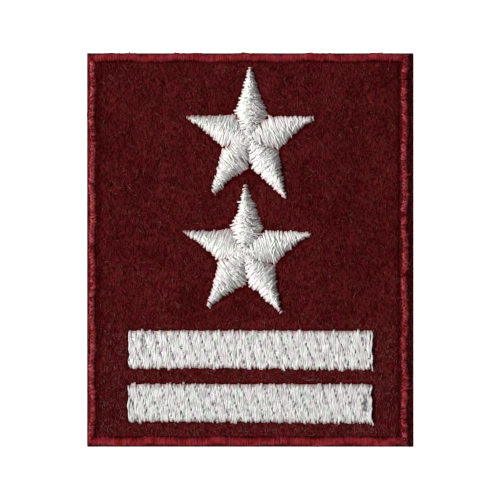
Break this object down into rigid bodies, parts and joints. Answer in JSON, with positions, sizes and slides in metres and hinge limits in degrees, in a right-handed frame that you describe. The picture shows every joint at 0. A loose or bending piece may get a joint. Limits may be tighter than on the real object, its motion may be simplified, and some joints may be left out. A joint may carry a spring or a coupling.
{
  "type": "embroidered beret rank insignia",
  "caption": "Flat rectangular cloth patch with a satin-stitched border, embroidered five-pointed stars and bars, sewn by its back to a beret.",
  "frame": {"origin": "middle of the patch's back face", "axes": "+Z out of the embroidered face, +Y towards the end with the stars, X along the bars"},
  "size_m": [0.0414, 0.05, 0.0022],
  "materials": {
    "cloth": "matt felted wool, maroon",
    "border_thread": "crimson embroidery thread, soft sheen",
    "white_thread": "white embroidery thread, soft sheen"
  },
  "bodies": {
    "root": {"base_cloth": "cloth", "border_top": "border_thread", "border_right": "border_thread", "border_bottom": "border_thread", "border_left": "border_thread", "upper_star_top_arm": "white_thread", "upper_star_right_arm": "white_thread", "upper_star_lower_right_arm": "white_thread", "upper_star_lower_left_arm": "white_thread", "upper_star_left_arm": "white_thread", "lower_star_top_arm": "white_thread", "lower_star_right_arm": "white_thread", "lower_star_lower_right_arm": "white_thread", "lower_star_lower_left_arm": "white_thread", "lower_star_left_arm": "white_thread", "upper_bar": "white_thread", "lower_bar": "white_thread"}
  },
  "joints": []
}
